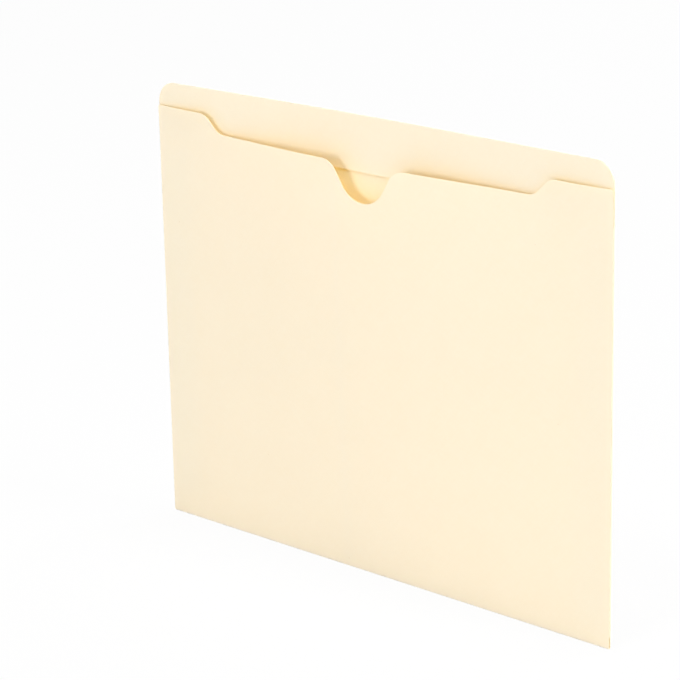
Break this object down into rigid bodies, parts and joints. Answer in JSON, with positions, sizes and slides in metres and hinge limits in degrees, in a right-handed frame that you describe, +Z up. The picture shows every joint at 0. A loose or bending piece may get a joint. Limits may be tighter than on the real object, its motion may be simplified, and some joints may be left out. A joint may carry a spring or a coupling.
{
  "type": "file jacket",
  "caption": "Flat manila file jacket: a paper pocket with a doubled full-width tab, a shouldered mouth edge with a thumb notch, glued side flaps and a creased bottom.",
  "frame": {"origin": "on the surface that the bottom crease stands on, under the middle of the width and of the depth", "axes": "+X to the right as seen from the front, -Y out of the front panel, +Z up to the tab"},
  "size_m": [0.2984, 0.0116, 0.2413],
  "materials": {
    "manila": "uncoated pale manila card stock",
    "creased_manila": "manila card stock rubbed along a fold",
    "dry_glue": "thin dry paper glue"
  },
  "bodies": {
    "jacket": {"back_panel": "manila", "tab_ply": "manila", "tab_glue": "dry_glue", "tab_crease": "creased_manila", "left_side_crease": "creased_manila", "left_glue_flap": "manila", "left_seam_glue": "dry_glue", "right_side_crease": "creased_manila", "right_glue_flap": "manila", "right_seam_glue": "dry_glue", "bottom_crease": "creased_manila"},
    "front": {"front_panel": "manila"}
  },
  "joints": [
    {"name": "mouth_opening", "type": "hinge", "parent": "jacket", "child": "front", "pos_m": [0, 0.00175, 0.00062], "axis": [1, 0, 0], "range_deg": [0, 5], "stiffness_Nm_per_rad": 0.3}
  ]
}
